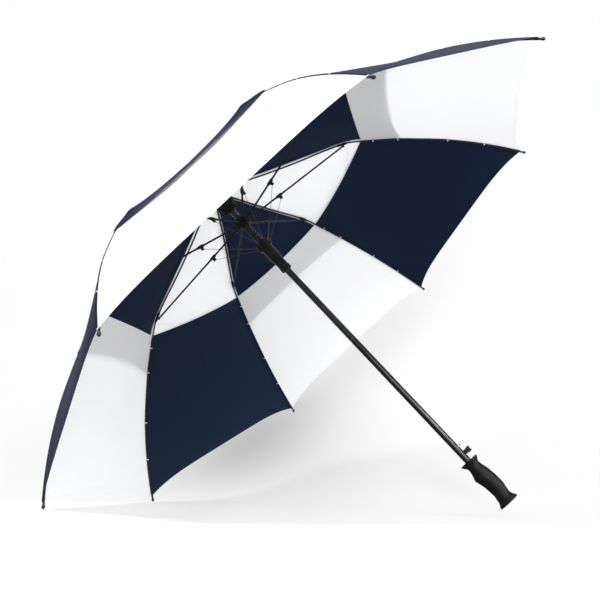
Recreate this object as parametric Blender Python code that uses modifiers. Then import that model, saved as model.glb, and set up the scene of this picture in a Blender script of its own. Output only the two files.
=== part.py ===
"""Vented double-canopy golf umbrella, modelled open and upright.

Metres, +Z up. Origin: centre of the grip's flat butt, on the shaft's axis.
Rib k stands at azimuth -45 (k - 1) degrees; panel k spans from rib k to rib k + 1.
"""
import math

import bmesh
import bpy
from mathutils import Matrix, Vector

for old in list(bpy.data.objects):
    bpy.data.objects.remove(old, do_unlink=True)

# ---------------------------------------------------------------- driving sizes
N_RIBS = 8
SECTOR = 2 * math.pi / N_RIBS
GAP = 0.0003                            # sliding clearance

SHAFT_R, SHAFT_BORE = 0.0070, 0.0062
SHAFT_Z0, SHAFT_Z1 = 0.0240, 0.9000
SLIDE_BORE = SHAFT_R + GAP              # bore of the parts that ride on the shaft

RIM_R, RIM_Z = 0.670, 0.5545            # rib tips
HUB_PIN_R = 0.0160                      # pin circle of crown and upper hub
HUB_PIN_Z = 0.8085
BRACKET_R = 0.3276                      # stretcher pin on the rib
BRACKET_DROP = 0.0062                   # that pin below the rib's centre line
FLEX_R = 0.3448                         # joint of the inner and outer rib
RIB_RAD, RIB_OUT_RAD, STRETCHER_RAD, WIRE_RAD = 0.0019, 0.0018, 0.0022, 0.0005
FOLD_DEG = 82.6                         # stretcher's swing from open to closed

CLIP_AT = 0.0962                        # clip along the stretcher from its hub pin
CLIP_DROP = 0.0075                      # wire eye below the stretcher's centre line
WIRE_PIN_R, WIRE_PIN_Z = 0.0165, 0.7350

BUTTON_AZ = math.radians(157.5)
BUTTON_Z, CATCH_Z = 0.1243, 0.1425
FLANGE_HALF = 0.0062                    # half height of the hub's and runner's flanges

CLOTH = 0.0004                          # cloth thickness
SEAM_GAP = 0.0006                       # panel edge to the rib's plane
APEX_R = 0.0100                         # hole in the cloth at the apex

# Rib centre line beyond the crown: radius, height.
RIB_LINE = [
    (0.0570, 0.8995), (0.1340, 0.8795), (0.2144, 0.8617), (0.2800, 0.8497),
    (BRACKET_R, 0.8396), (FLEX_R, 0.8350), (0.3960, 0.8025), (0.4400, 0.7740),
    (0.4930, 0.7345), (0.5458, 0.6917), (0.5950, 0.6440), (0.6350, 0.5990),
    (RIM_R, RIM_Z),
]
APEX_SLOPE = 0.20                       # rise per unit radius inside the first point


def rib_z(r):
    """Height of the rib line at radius r, carried on towards the apex and level past the rim."""
    first_r, first_z = RIB_LINE[0]
    if r <= first_r:
        return first_z + (first_r - r) * APEX_SLOPE
    for (r0, z0), (r1, z1) in zip(RIB_LINE, RIB_LINE[1:]):
        if r <= r1:
            return z0 + (z1 - z0) * (r - r0) / (r1 - r0)
    return RIB_LINE[-1][1]


# ---------------------------------------------------------------- linkage
BRACKET_Z = rib_z(BRACKET_R) - BRACKET_DROP
CROWN_PIN_Z = 2 * BRACKET_Z - HUB_PIN_Z
LINK = math.hypot(BRACKET_R - HUB_PIN_R, BRACKET_Z - HUB_PIN_Z)

# Stretcher angles, measured from +Z.
OPEN_ANGLE = math.acos((CROWN_PIN_Z - BRACKET_Z) / LINK)
CLOSED_ANGLE = OPEN_ANGLE - math.radians(FOLD_DEG)
HUB_TRAVEL = 2 * LINK * (math.cos(CLOSED_ANGLE) - math.cos(OPEN_ANGLE))


def wire_eye(angle, pin_z):
    """Radius and height of the wire's eye for a stretcher at this angle on a hub pin at pin_z."""
    along_r, along_z = math.sin(angle), math.cos(angle)
    return (HUB_PIN_R + CLIP_AT * along_r + CLIP_DROP * along_z,
            pin_z + CLIP_AT * along_z - CLIP_DROP * along_r)


EYE_R, EYE_Z = wire_eye(OPEN_ANGLE, HUB_PIN_Z)
WIRE_LEN = math.hypot(EYE_R - WIRE_PIN_R, EYE_Z - WIRE_PIN_Z)
CLOSED_EYE_R, CLOSED_EYE_Z = wire_eye(CLOSED_ANGLE, HUB_PIN_Z - HUB_TRAVEL)
WIRE_CLOSED = math.asin((CLOSED_EYE_R - WIRE_PIN_R) / WIRE_LEN)
RUNNER_TRAVEL = WIRE_PIN_Z - (CLOSED_EYE_Z - WIRE_LEN * math.cos(WIRE_CLOSED))

# Pins as (radius, height): the origins of the parts that swing.
CROWN_PIN = (HUB_PIN_R, CROWN_PIN_Z)
FLEX_PIN = (FLEX_R, rib_z(FLEX_R))
BRACKET_PIN = (BRACKET_R, BRACKET_Z)
EYE_PIN = (EYE_R, EYE_Z)

# ---------------------------------------------------------------- collections and materials
model = bpy.data.collections.new("golf_umbrella")
cutters = bpy.data.collections.new("cutters")
for collection in (model, cutters):
    bpy.context.scene.collection.children.link(collection)


def material(name, colour, roughness, metallic=0.0):
    mat = bpy.data.materials.new(name)
    mat.use_nodes = True
    mat.diffuse_color = (*colour, 1.0)
    shader = mat.node_tree.nodes["Principled BSDF"]
    shader.inputs["Base Color"].default_value = (*colour, 1.0)
    shader.inputs["Roughness"].default_value = roughness
    shader.inputs["Metallic"].default_value = metallic
    return mat


NAVY = material("navy_pongee", colour=(0.012, 0.020, 0.045), roughness=0.80)
WHITE = material("white_pongee", colour=(0.90, 0.90, 0.91), roughness=0.80)
BLACK_METAL = material("black_coated_steel", colour=(0.015, 0.015, 0.016),
                       roughness=0.28, metallic=0.6)
RIB_BLACK = material("black_fibreglass", colour=(0.020, 0.020, 0.022), roughness=0.42)
STRETCH_BLACK = material("black_channel_steel", colour=(0.022, 0.022, 0.024),
                         roughness=0.40, metallic=0.4)
BLACK_PLASTIC = material("black_plastic", colour=(0.018, 0.018, 0.019), roughness=0.45)
GRIP_RUBBER = material("black_grip_rubber", colour=(0.014, 0.014, 0.015), roughness=0.72)
SPRING_STEEL = material("spring_steel", colour=(0.32, 0.32, 0.34), roughness=0.35, metallic=1.0)
WIRE_GREY = material("wire_steel", colour=(0.30, 0.30, 0.31), roughness=0.38, metallic=1.0)
NICKEL = material("nickel", colour=(0.62, 0.62, 0.63), roughness=0.25, metallic=1.0)


# ---------------------------------------------------------------- object helpers
def link(obj, mat=None, to=model):
    """Moves obj to one collection and gives it one material."""
    for collection in list(obj.users_collection):
        collection.objects.unlink(obj)
    to.objects.link(obj)
    if mat is not None:
        obj.data.materials.clear()
        obj.data.materials.append(mat)
    return obj


def place(obj, radius, z, angle):
    """Sets obj at a radius and height, its x axis pointing out along the azimuth."""
    obj.location = (radius * math.cos(angle), radius * math.sin(angle), z)
    obj.rotation_euler = (0, 0, angle)
    return obj


def azimuth(k):
    return -SECTOR * (k - 1)


def smooth(mesh):
    for face in mesh.polygons:
        face.use_smooth = True


def boolean(obj, other, operation="DIFFERENCE"):
    modifier = obj.modifiers.new(operation.lower(), "BOOLEAN")
    modifier.operation = operation
    modifier.solver = "EXACT"
    modifier.object = other


def cut(obj, cutter):
    """Subtracts a cutter that stays in the file as a hidden helper."""
    link(cutter, to=cutters)
    cutter.hide_render = True
    cutter.display_type = "WIRE"
    boolean(obj, cutter)


def tidy(mesh, weld=False):
    """Turns all faces outward, after welding coincident vertices if asked."""
    bm = bmesh.new()
    bm.from_mesh(mesh)
    if weld:
        bmesh.ops.remove_doubles(bm, verts=bm.verts, dist=1e-6)
    bmesh.ops.recalc_face_normals(bm, faces=bm.faces)
    bm.to_mesh(mesh)
    bm.free()


def baked_mesh(obj, name):
    """The object's evaluated mesh in its own frame, welded and ready to share."""
    bpy.context.view_layer.update()
    graph = bpy.context.evaluated_depsgraph_get()
    mesh = bpy.data.meshes.new_from_object(obj.evaluated_get(graph))
    mesh.name = name
    tidy(mesh, weld=True)
    return mesh


def one_mesh(name, obj, mat, parts=(), cuts=()):
    """Joins parts to obj and takes cuts away, then keeps only the finished mesh."""
    for part in parts:
        boolean(obj, part, "UNION")
    for other in cuts:
        boolean(obj, other)
    mesh = baked_mesh(obj, name)
    mesh.materials.clear()
    mesh.materials.append(mat)
    for used in (obj, *parts, *cuts):
        bpy.data.objects.remove(used, do_unlink=True)
    return mesh


# ---------------------------------------------------------------- shape helpers
def tube(name, points, radius, mat, resolution=2, scales=None):
    """A round rod along points, as a mesh with welded caps; scales vary its radius by point."""
    curve = bpy.data.curves.new(name, "CURVE")
    curve.dimensions = "3D"
    curve.bevel_depth = radius
    curve.bevel_resolution = resolution
    curve.use_fill_caps = True
    spline = curve.splines.new("POLY")
    spline.points.add(len(points) - 1)
    for i, point in enumerate(points):
        spline.points[i].co = (*point, 1.0)
        spline.points[i].radius = scales[i] if scales else 1.0
    guide = link(bpy.data.objects.new(name + "_guide", curve), to=cutters)
    mesh = baked_mesh(guide, name)
    bpy.data.objects.remove(guide, do_unlink=True)
    return link(bpy.data.objects.new(name, mesh), mat)


def coil(name, z_low, z_high, turns, per_turn, coil_r, wire_r, resolution):
    """A spring about the shaft's axis, with per_turn points to each turn."""
    steps = turns * per_turn
    points = []
    for i in range(steps + 1):
        angle = 2 * math.pi * i / per_turn
        z = z_low + (z_high - z_low) * i / steps
        points.append((coil_r * math.cos(angle), coil_r * math.sin(angle), z))
    smooth(tube(name, points, wire_r, SPRING_STEEL, resolution).data)


def box(name, size, centre=(0, 0, 0), mat=None):
    bpy.ops.mesh.primitive_cube_add(size=1, location=centre)
    obj = bpy.context.object
    obj.name = name
    obj.data.transform(Matrix.Diagonal((*size, 1.0)))
    return link(obj, mat)


def cylinder(name, radius, length, centre, sides):
    bpy.ops.mesh.primitive_cylinder_add(vertices=sides, radius=radius, depth=length,
                                        location=centre)
    obj = bpy.context.object
    obj.name = name
    return link(obj)


def turned(name, profile, mat, steps=24):
    """A solid turned about +Z from its outline of (radius, height) points."""
    mesh = bpy.data.meshes.new(name)
    count = len(profile)
    mesh.from_pydata([(r, 0.0, z) for r, z in profile],
                     [(i, (i + 1) % count) for i in range(count)], [])
    obj = link(bpy.data.objects.new(name, mesh), mat)
    screw = obj.modifiers.new("turn", "SCREW")
    screw.axis = "Z"
    screw.steps = steps
    screw.render_steps = steps
    screw.use_merge_vertices = True
    screw.merge_threshold = 1e-5
    return obj


def cut_at_button(obj, name, size, radius, z):
    """Cuts a box whose x runs out along the button's direction."""
    cut(obj, place(box(name, size), radius, z, BUTTON_AZ))


SLOT_OUTER, SLOT_HEIGHT = 0.0230, 0.0400


def cut_slots(obj, tag, pin_z, inner, width):
    """Cuts a slot at each rib's azimuth, from radius inner out through the edge."""
    for k in range(1, N_RIBS + 1):
        slot = box("cut_%s_%d" % (tag, k), (SLOT_OUTER - inner, width, SLOT_HEIGHT))
        cut(obj, place(slot, (inner + SLOT_OUTER) / 2, pin_z, azimuth(k)))


# ---------------------------------------------------------------- shaft and grip
def make_shaft():
    shaft = turned("shaft_tube", [(SHAFT_R, SHAFT_Z1), (SHAFT_R, SHAFT_Z0),
                                  (SHAFT_BORE, SHAFT_Z0), (SHAFT_BORE, SHAFT_Z1)],
                   BLACK_METAL, steps=32)
    cut_at_button(shaft, "cut_button_hole", (0.006, 0.0066, 0.0106), 0.0075, BUTTON_Z)
    cut_at_button(shaft, "cut_catch_slot", (0.006, 0.0046, 0.0066), 0.0075, CATCH_Z)


# Oval sections, top to butt: z, centre's offset towards the button, half width, half depth.
GRIP_SECTIONS = [
    (0.1078, 0.0007, 0.0198, 0.0185), (0.1035, 0.0008, 0.0188, 0.0175),
    (0.0990, 0.0012, 0.0150, 0.0145), (0.0940, 0.0016, 0.0132, 0.0132),
    (0.0850, 0.0017, 0.0146, 0.0142), (0.0770, 0.0016, 0.0168, 0.0156),
    (0.0710, 0.0012, 0.0184, 0.0162), (0.0650, 0.0022, 0.0180, 0.0162),
    (0.0560, 0.0040, 0.0173, 0.0160), (0.0470, 0.0050, 0.0166, 0.0156),
    (0.0360, 0.0055, 0.0161, 0.0152), (0.0260, 0.0048, 0.0150, 0.0146),
    (0.0160, 0.0033, 0.0150, 0.0146), (0.0090, 0.0032, 0.0172, 0.0164),
    (0.0030, 0.0033, 0.0206, 0.0192), (0.0000, 0.0033, 0.0206, 0.0192),
]
GRIP_SIDES = 24
GRIP_BORE_LEN = 0.1000                  # runs out through the grip's top


def make_grip():
    points, faces = [], []
    for z, offset, half_width, half_depth in GRIP_SECTIONS:
        for i in range(GRIP_SIDES):
            angle = 2 * math.pi * i / GRIP_SIDES
            points.append((offset + half_width * math.cos(angle), half_depth * math.sin(angle), z))
    for upper in range(0, len(points) - GRIP_SIDES, GRIP_SIDES):
        lower = upper + GRIP_SIDES
        for i in range(GRIP_SIDES):
            j = (i + 1) % GRIP_SIDES
            faces.append((upper + i, lower + i, lower + j, upper + j))
    faces.append(tuple(range(GRIP_SIDES)))
    faces.append(tuple(reversed(range(len(points) - GRIP_SIDES, len(points)))))
    mesh = bpy.data.meshes.new("grip")
    mesh.from_pydata(points, [], faces)
    tidy(mesh)
    grip = link(bpy.data.objects.new("grip", mesh), GRIP_RUBBER)
    grip.rotation_euler = (0, 0, BUTTON_AZ)
    bore_centre = (0, 0, SHAFT_Z0 - GAP + GRIP_BORE_LEN / 2)
    cut(grip, cylinder("cut_grip_bore", SLIDE_BORE, GRIP_BORE_LEN, bore_centre, sides=32))


# ---------------------------------------------------------------- button and catch
def make_button():
    body = box("release_button", (0.0070, 0.0092, 0.0112))
    stem = box("stem", (0.0090, 0.0060, 0.0094), (-0.0070, 0, 0))
    mesh = one_mesh("release_button", body, BLACK_PLASTIC, parts=(stem,))
    button = link(bpy.data.objects.new("release_button", mesh))
    place(button, 0.0172, BUTTON_Z, BUTTON_AZ)


def make_catch():
    catch = box("runner_catch", (0.0078, 0.0040, 0.0058), mat=NICKEL)
    bevel = catch.modifiers.new("edge", "BEVEL")
    bevel.width = 0.0008
    bevel.segments = 2
    place(catch, 0.0090, CATCH_Z, BUTTON_AZ)


# ---------------------------------------------------------------- crown and ferrule
CROWN_TOP = rib_z(APEX_R) - 0.0010
FERRULE_LOW = CROWN_TOP + 0.0004
DISC_LOW = rib_z(APEX_R) + 0.0074       # underside of the clamp disc, above the cloth


def make_crown():
    """Crown notch: the ribs hinge in its slots and its neck reaches up to the apex."""
    flange_top, flange_low = CROWN_PIN_Z + 0.0065, CROWN_PIN_Z - 0.0060
    bottom = CROWN_PIN_Z - 0.0100
    crown = turned("crown_notch", [
        (0.0092, CROWN_TOP), (0.0092, flange_top), (0.0185, flange_top), (0.0185, flange_low),
        (0.0110, bottom), (SLIDE_BORE, bottom), (SLIDE_BORE, CROWN_TOP)], BLACK_PLASTIC)
    cut_slots(crown, "crown", CROWN_PIN_Z, inner=0.0125, width=0.0046)


def make_ferrule():
    """Clamp disc above the cloth and a spike over the shaft's end."""
    turned("ferrule", [
        (0.0, 0.9880), (0.0024, 0.9878), (0.0040, 0.9850), (0.0052, 0.9560), (0.0068, 0.9300),
        (0.0105, 0.9235), (0.0165, DISC_LOW + 0.0024), (0.0165, DISC_LOW), (0.0075, DISC_LOW),
        (0.0075, FERRULE_LOW), (0.0, FERRULE_LOW)], BLACK_PLASTIC)


# ---------------------------------------------------------------- hub, runner, springs
HUB_TOP, HUB_LOW = HUB_PIN_Z + 0.0150, HUB_PIN_Z - 0.0080
RUNNER_TOP = WIRE_PIN_Z + FLANGE_HALF + 0.0020
COLLAR_Z = 0.6575                       # runner's lower end
WINDOW_TOP = CATCH_Z + RUNNER_TRAVEL + 0.0043
WINDOW_LOW = COLLAR_Z - 0.0040
HUB_SPRING_INSET = 0.0014               # coil's centre line from the faces at its ends


def make_hub():
    flange_top, flange_low = HUB_PIN_Z + FLANGE_HALF, HUB_PIN_Z - FLANGE_HALF
    hub = turned("upper_hub", [
        (0.0108, HUB_TOP), (0.0108, flange_top), (0.0180, flange_top), (0.0180, flange_low),
        (0.0112, HUB_LOW), (SLIDE_BORE, HUB_LOW), (SLIDE_BORE, HUB_TOP)], BLACK_PLASTIC)
    cut_slots(hub, "hub", HUB_PIN_Z, inner=0.0122, width=0.0052)


def make_runner():
    """Sleeve that carries the brace wires, with a window for the catch from its lower end."""
    flange_top, flange_low = WIRE_PIN_Z + FLANGE_HALF, WIRE_PIN_Z - FLANGE_HALF
    runner = turned("runner_sleeve", [
        (0.0115, RUNNER_TOP), (0.0115, flange_top), (0.0182, flange_top), (0.0182, flange_low),
        (0.0136, flange_low - 0.0040), (0.0136, 0.6907), (0.0113, 0.6890),
        (0.0113, COLLAR_Z + 0.0085), (0.0123, COLLAR_Z + 0.0075), (0.0123, COLLAR_Z),
        (SLIDE_BORE, COLLAR_Z), (SLIDE_BORE, RUNNER_TOP)], BLACK_PLASTIC)
    cut_slots(runner, "runner", WIRE_PIN_Z, inner=0.0148, width=0.0026)
    cut_at_button(runner, "cut_window", (0.0120, 0.0056, WINDOW_TOP - WINDOW_LOW),
                  0.0120, (WINDOW_TOP + WINDOW_LOW) / 2)


def make_springs():
    """Main spring inside the shaft, and the hub spring between runner and hub."""
    coil("main_spring", z_low=0.6600, z_high=0.8900, turns=14, per_turn=8,
         coil_r=0.0048, wire_r=0.0007, resolution=0)
    coil("hub_spring", z_low=RUNNER_TOP + HUB_SPRING_INSET, z_high=HUB_LOW - HUB_SPRING_INSET,
         turns=8, per_turn=10, coil_r=0.0092, wire_r=0.0010, resolution=1)


# ---------------------------------------------------------------- ribs
LUG_THICK = 0.0018                      # bracket lug under the inner rib


def about(pin, points):
    """(radius, height) points as positions from a pin."""
    return [(r - pin[0], 0.0, z - pin[1]) for r, z in points]


def inner_rib_mesh():
    """Cranked rod from the crown pin to just short of the flex pin, with the stretcher's lug."""
    crank = [(HUB_PIN_R - 0.0012, CROWN_PIN_Z), (HUB_PIN_R + 0.0014, CROWN_PIN_Z + 0.0060),
             (0.0210, CROWN_PIN_Z + 0.0190), (0.0285, CROWN_PIN_Z + 0.0320), (0.0400, 0.9012)]
    to_bracket = [point for point in RIB_LINE if point[0] <= BRACKET_R]
    run = Vector((FLEX_R - BRACKET_R, rib_z(FLEX_R) - rib_z(BRACKET_R))).normalized()
    end = (FLEX_R - 0.0013 * run.x, rib_z(FLEX_R) - 0.0013 * run.y)
    rod = tube("rod", about(CROWN_PIN, crank + to_bracket + [end]), RIB_RAD, RIB_BLACK)

    lug_centre, pin_centre = about(
        CROWN_PIN, [(BRACKET_R, BRACKET_Z + BRACKET_DROP / 2), BRACKET_PIN])
    lug = box("lug", (0.0060, LUG_THICK, BRACKET_DROP + 0.0004), lug_centre)
    lug_end = cylinder("lug_end", 0.0030, LUG_THICK, pin_centre, sides=12)
    lug_end.data.transform(Matrix.Rotation(math.pi / 2, 4, "X"))
    return one_mesh("rib_inner", rod, RIB_BLACK, parts=(lug, lug_end))


def outer_rib_mesh():
    """Rod from the flex pin to the rim, with a tapered cap on its tip."""
    points = [point for point in RIB_LINE if point[0] > FLEX_R]
    run = (Vector(points[-1]) - Vector(points[-2])).normalized()
    rod = tube("rod", about(FLEX_PIN, [FLEX_PIN] + points), RIB_OUT_RAD, RIB_BLACK)
    cap_line = [(RIM_R + run.x * reach, RIM_Z + run.y * reach)
                for reach in (-0.0060, 0.0030, 0.0062)]
    cap = tube("cap", about(FLEX_PIN, cap_line), 0.0028, RIB_BLACK, scales=[1.0, 1.0, 0.55])
    return one_mesh("rib_outer", rod, RIB_BLACK, parts=(cap,))


# ---------------------------------------------------------------- stretchers and wires
ALONG = Vector((math.sin(OPEN_ANGLE), 0.0, math.cos(OPEN_ANGLE)))      # hub pin to bracket
ACROSS = Vector((math.cos(OPEN_ANGLE), 0.0, -math.sin(OPEN_ANGLE)))    # towards the grip


def on_stretcher(along, down):
    """A point given from the stretcher's hub pin, as a position from its bracket pin."""
    return ALONG * (along - LINK) + ACROSS * down


def stretcher_box(name, size, along, down):
    obj = box(name, size)
    obj.rotation_euler = (0, math.atan2(-ALONG.z, ALONG.x), 0)
    obj.location = on_stretcher(along, down)
    return obj


def stretcher_mesh():
    """Rod forked at the bracket, with a clip whose slotted lug takes the wire's eye."""
    rod = tube("rod", [on_stretcher(along, 0) for along in (-0.0014, 0.1, 0.2, LINK + 0.0016)],
               STRETCHER_RAD, STRETCH_BLACK)
    clip = tube("clip", [on_stretcher(CLIP_AT + step, 0)
                         for step in (-0.0085, -0.0055, 0.0055, 0.0085)],
                0.0038, STRETCH_BLACK, scales=[0.72, 1.0, 1.0, 0.72])
    clip_lug = stretcher_box("clip_lug", (0.0062, 0.0044, 0.0092), CLIP_AT, 0.0048)
    fork = stretcher_box("fork", (0.0160, 0.0024, 0.0120), LINK + 0.0035, 0)
    eye_slot = stretcher_box("eye_slot", (0.0200, 0.0020, 0.0080), CLIP_AT, 0.0086)
    return one_mesh("stretcher", rod, STRETCH_BLACK, parts=(clip, clip_lug),
                    cuts=(fork, eye_slot))


def wire_mesh():
    """Brace wire from its eye in to the runner, thickened at both ends."""
    inward = Vector((WIRE_PIN_R - EYE_R, 0.0, WIRE_PIN_Z - EYE_Z)).normalized()
    reaches = (-0.0006, 0.0014, 0.04, 0.08, WIRE_LEN - 0.0020, WIRE_LEN + 0.0008)
    wire = tube("brace_wire", [inward * reach for reach in reaches], WIRE_RAD, WIRE_GREY,
                resolution=1, scales=[1.6, 1.0, 1.0, 1.0, 1.0, 1.6])
    mesh = wire.data
    bpy.data.objects.remove(wire, do_unlink=True)
    return mesh


# ---------------------------------------------------------------- canopy panels
# Radii of the rows of points along the rib.
LOWER_ROWS = [0.372, 0.396, 0.425, 0.455, 0.510, 0.555, 0.600, 0.640, 0.668]
UPPER_ROWS = [APEX_R, 0.075, 0.150, 0.240, BRACKET_R, FLEX_R, 0.372, 0.396, 0.425, 0.455]
PANEL_COLUMNS = 8
SLOPE_STEP = 0.002                      # half the span the rib's slope is taken over


def lower_bow(t):
    return -0.0040 * (1 - t) - 0.004 * math.sin(math.pi * t)


def upper_bow(t):
    return -0.005 * math.sin(math.pi * t * t)


def rib_normal(r):
    """Unit (radial, height) normal on the rib line's upper side."""
    mid = r if r < RIM_R - SLOPE_STEP else RIM_R - SLOPE_STEP
    rise = rib_z(mid + SLOPE_STEP) - rib_z(mid - SLOPE_STEP)
    return Vector((-rise / (2 * SLOPE_STEP), 1.0)).normalized()


def panel_point(row_r, t, s, lift, bow, hem_in, hem_power):
    """The cloth at share t of the way out along the rib and share s of the way across."""
    r = row_r - hem_in * (1 - abs(2 * s - 1) ** hem_power) * t ** 3
    normal = rib_normal(r)
    edge_r, z = r + normal.x * lift, rib_z(r) + normal.y * lift
    inset = SEAM_GAP / max(edge_r, 0.02)
    start, end = (Vector((edge_r * math.cos(angle), edge_r * math.sin(angle), z))
                  for angle in (-inset, -SECTOR + inset))
    middle = -SECTOR / 2
    outward = Vector((normal.x * math.cos(middle), normal.x * math.sin(middle), normal.y))
    return start.lerp(end, s) + outward * (bow(t) * 4 * s * (1 - s))


def panel_mesh(name, pin, rows, **shape):
    """A cloth panel between two ribs, about a pin of the first.

    shape: lift, the cloth's height off the rib line; bow, a function of t for how far the
    middle stands off the straight chord; hem_in, how far the outer hem is drawn in between
    the ribs; hem_power, where higher makes the middle of that hem straighter.
    """
    points, faces = [], []
    for row_r in rows:
        t = (row_r - rows[0]) / (rows[-1] - rows[0])
        for j in range(PANEL_COLUMNS + 1):
            point = panel_point(row_r, t, j / PANEL_COLUMNS, **shape)
            points.append((point.x - pin[0], point.y, point.z - pin[1]))
    stride = PANEL_COLUMNS + 1
    for i in range(len(rows) - 1):
        for j in range(PANEL_COLUMNS):
            corner = i * stride + j
            faces.append((corner, corner + stride, corner + stride + 1, corner + 1))
    sheet = bpy.data.meshes.new(name)
    sheet.from_pydata(points, [], faces)
    tidy(sheet)

    guide = link(bpy.data.objects.new(name, sheet))
    solidify = guide.modifiers.new("cloth", "SOLIDIFY")
    solidify.thickness = CLOTH
    solidify.offset = 0.0
    mesh = baked_mesh(guide, name)
    bpy.data.objects.remove(guide, do_unlink=True)
    return mesh


def in_colours(mesh, *mats):
    """One copy of the mesh for each material."""
    copies = []
    for mat in mats:
        copy = mesh.copy()
        copy.materials.append(mat)
        copies.append(copy)
    bpy.data.meshes.remove(mesh)
    return copies


# ---------------------------------------------------------------- assembly
def make_canopy():
    """Ribs, stretchers, wires and panels; the panels' colours alternate round each canopy."""
    lower = panel_mesh("lower_panel", FLEX_PIN, LOWER_ROWS,
                       lift=0.0034, bow=lower_bow, hem_in=0.0115, hem_power=5)
    upper = panel_mesh("upper_panel", CROWN_PIN, UPPER_ROWS,
                       lift=0.0060, bow=upper_bow, hem_in=0.0130, hem_power=2)
    # Name, pin at its origin, meshes taken in turn round the ribs.
    sets = [
        ("rib_inner", CROWN_PIN, [inner_rib_mesh()]),
        ("rib_outer", FLEX_PIN, [outer_rib_mesh()]),
        ("stretcher", BRACKET_PIN, [stretcher_mesh()]),
        ("brace_wire", EYE_PIN, [wire_mesh()]),
        ("upper_panel", CROWN_PIN, in_colours(upper, NAVY, WHITE)),
        ("lower_panel", FLEX_PIN, in_colours(lower, WHITE, NAVY)),
    ]
    for name, pin, meshes in sets:
        for mesh in meshes:
            smooth(mesh)
        for k in range(1, N_RIBS + 1):
            mesh = meshes[(k - 1) % len(meshes)]
            obj = link(bpy.data.objects.new("%s_%d" % (name, k), mesh))
            place(obj, *pin, azimuth(k))


make_shaft()
make_grip()
make_crown()
make_ferrule()
make_button()
make_catch()
make_hub()
make_runner()
make_springs()
make_canopy()
bpy.context.view_layer.update()
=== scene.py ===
"""Looks of the vented golf umbrella: cloth, rods, mouldings, grip, studio.

Metres, the CAD's own frame: the shaft stands along z with the grip's foot at z = 0. Rib k
stands at azimuth -45 (k - 1) degrees, and sector k spans from rib k to rib k + 1. Each sector
of cloth is cut down its middle: half "a" belongs to rib k and half "b" to rib k + 1.
Parts of a rib are made in rib 1's
plane (x radial, y across, z up) and then turned to rib k.
"""
import functools
import math

import bmesh
import bpy
import numpy as np
from mathutils import Matrix, Vector


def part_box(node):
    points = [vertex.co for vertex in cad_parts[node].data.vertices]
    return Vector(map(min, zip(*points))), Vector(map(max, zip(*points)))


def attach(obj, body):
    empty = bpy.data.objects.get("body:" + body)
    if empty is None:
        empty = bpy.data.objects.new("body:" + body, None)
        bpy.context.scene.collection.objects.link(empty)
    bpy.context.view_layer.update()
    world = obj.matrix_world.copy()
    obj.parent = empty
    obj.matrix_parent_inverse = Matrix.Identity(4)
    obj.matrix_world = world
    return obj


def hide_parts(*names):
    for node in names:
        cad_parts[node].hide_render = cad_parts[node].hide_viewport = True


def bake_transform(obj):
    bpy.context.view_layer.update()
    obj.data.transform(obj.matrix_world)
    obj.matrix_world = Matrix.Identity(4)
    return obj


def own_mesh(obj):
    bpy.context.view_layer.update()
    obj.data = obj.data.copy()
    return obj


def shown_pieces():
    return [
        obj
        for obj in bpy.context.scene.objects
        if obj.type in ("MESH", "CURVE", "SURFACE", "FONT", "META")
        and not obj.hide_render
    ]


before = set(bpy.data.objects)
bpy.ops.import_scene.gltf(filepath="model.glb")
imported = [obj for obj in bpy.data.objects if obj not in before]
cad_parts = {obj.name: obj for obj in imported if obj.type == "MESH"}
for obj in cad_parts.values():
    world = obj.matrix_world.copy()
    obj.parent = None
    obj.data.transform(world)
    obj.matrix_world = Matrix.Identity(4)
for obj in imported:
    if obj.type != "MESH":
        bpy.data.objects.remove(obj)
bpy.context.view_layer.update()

scene = bpy.context.scene

# ------------------------------------------------------------------ places taken from the frame
RIB_COUNT = 8
SECTOR = 2 * math.pi / RIB_COUNT
SHAFT_RADIUS = (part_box("shaft_tube")[1].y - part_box("shaft_tube")[0].y) / 2

# Line of the open rib: radius, height
RIB_LINE = np.array([
    (0.0570, 0.8995), (0.1340, 0.8795), (0.2144, 0.8617), (0.2800, 0.8497), (0.3276, 0.8387),
    (0.3448, 0.8327), (0.3960, 0.8018), (0.4400, 0.7740), (0.4930, 0.7345), (0.5458, 0.6917),
    (0.5950, 0.6440), (0.6350, 0.5990), (0.670, 0.5545)])
CROWN_SLOPE = 0.20                # fall of the line from the axis to the first station
PIN = (0.0160, 0.85830)           # crown pin: radius, height
FLEX = (0.3448, 0.8350)           # where the rib bends as it folds: radius, height
LUG_RADIUS = 0.3276               # the stretcher's joint
FOLD = math.radians(82.6)         # turn of the rib about the crown pin
BACK = math.radians(34.2)         # turn back of the rib's outer end about the flex point


class Curve:
    """Smooth curve through knots, level wherever they turn back."""

    def __init__(self, x, y):
        self.x, self.y = x, y
        step = np.diff(x)
        rise = np.diff(y) / step
        self.m = np.zeros_like(x)
        for i in range(1, len(x) - 1):
            if rise[i - 1] * rise[i] > 0:
                w1, w2 = 2 * step[i] + step[i - 1], step[i] + 2 * step[i - 1]
                self.m[i] = (w1 + w2) / (w1 / rise[i - 1] + w2 / rise[i])
        self.m[0], self.m[-1] = rise[0], rise[-1]

    def place(self, at):
        """Index of the stretch, its length, and the share of it passed."""
        at = np.asarray(at, float)
        i = np.clip(np.searchsorted(self.x, at) - 1, 0, len(self.x) - 2)
        h = self.x[i + 1] - self.x[i]
        return i, h, (at - self.x[i]) / h

    def value(self, at):
        i, h, t = self.place(at)
        y, m = self.y, self.m
        return ((2 * t**3 - 3 * t * t + 1) * y[i] + (t**3 - 2 * t * t + t) * h * m[i]
                + (-2 * t**3 + 3 * t * t) * y[i + 1] + (t**3 - t * t) * h * m[i + 1])

    def slope(self, at):
        i, h, t = self.place(at)
        y, m = self.y, self.m
        return ((6 * t * t - 6 * t) * y[i] + (3 * t * t - 4 * t + 1) * h * m[i]
                + (-6 * t * t + 6 * t) * y[i + 1] + (3 * t * t - 2 * t) * h * m[i + 1]) / h


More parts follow.
